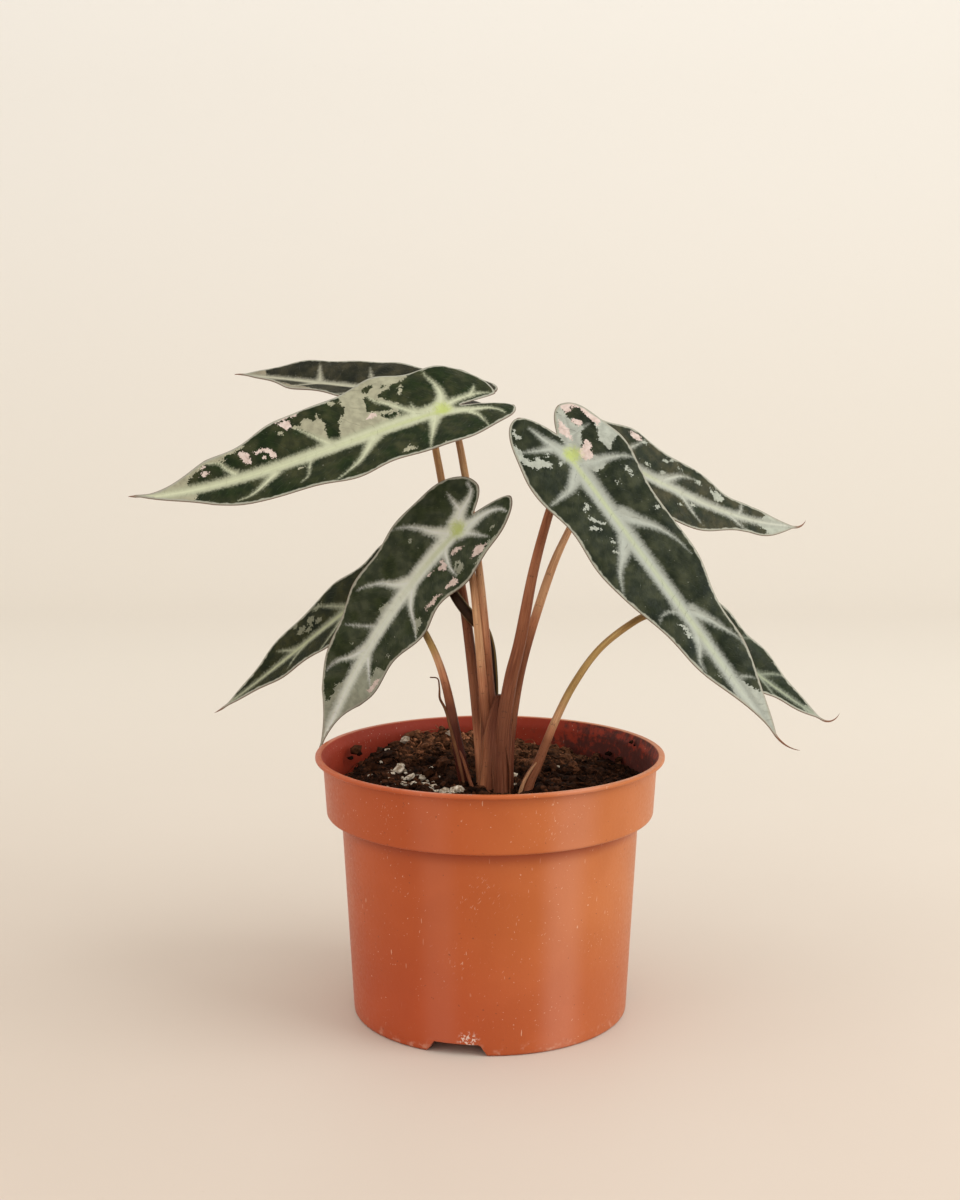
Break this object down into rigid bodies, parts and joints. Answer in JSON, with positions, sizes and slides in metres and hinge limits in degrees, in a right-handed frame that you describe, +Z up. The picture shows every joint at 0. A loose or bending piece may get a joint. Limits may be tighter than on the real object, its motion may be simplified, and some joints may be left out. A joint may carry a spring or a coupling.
{
  "type": "potted alocasia",
  "caption": "Small variegated alocasia with narrow arrow-shaped leaves on slender stalks, growing from potting mix in a round plastic nursery pot.",
  "frame": {"origin": "middle of the whole object's footprint, on the surface that the pot stands on", "axes": "+Z up, -Y towards the viewer of the picture, +X to the viewer's right"},
  "size_m": [0.246, 0.1334, 0.2236],
  "materials": {
    "pot_plastic": "satin terracotta plastic with scuffs",
    "potting_mix": "dark crumbly potting mix with white perlite",
    "stalk_skin": "smooth pinkish brown, olive towards the blades",
    "young_leaf": "smooth, nearly black purple",
    "dry_sheath": "dry and brown",
    "leaf_blade": "satin dark green with silver veins and pale patches"
  },
  "bodies": {
    "root": {"pot": "pot_plastic", "soil": "potting_mix", "stems": "stalk_skin", "new_leaf": "young_leaf", "dried_sheath": "dry_sheath", "leaf_upper_left": "leaf_blade", "leaf_back_left": "leaf_blade", "leaf_front_left": "leaf_blade", "leaf_low_left": "leaf_blade", "leaf_front_right": "leaf_blade", "leaf_back_right": "leaf_blade", "leaf_low_right": "leaf_blade"}
  },
  "joints": []
}
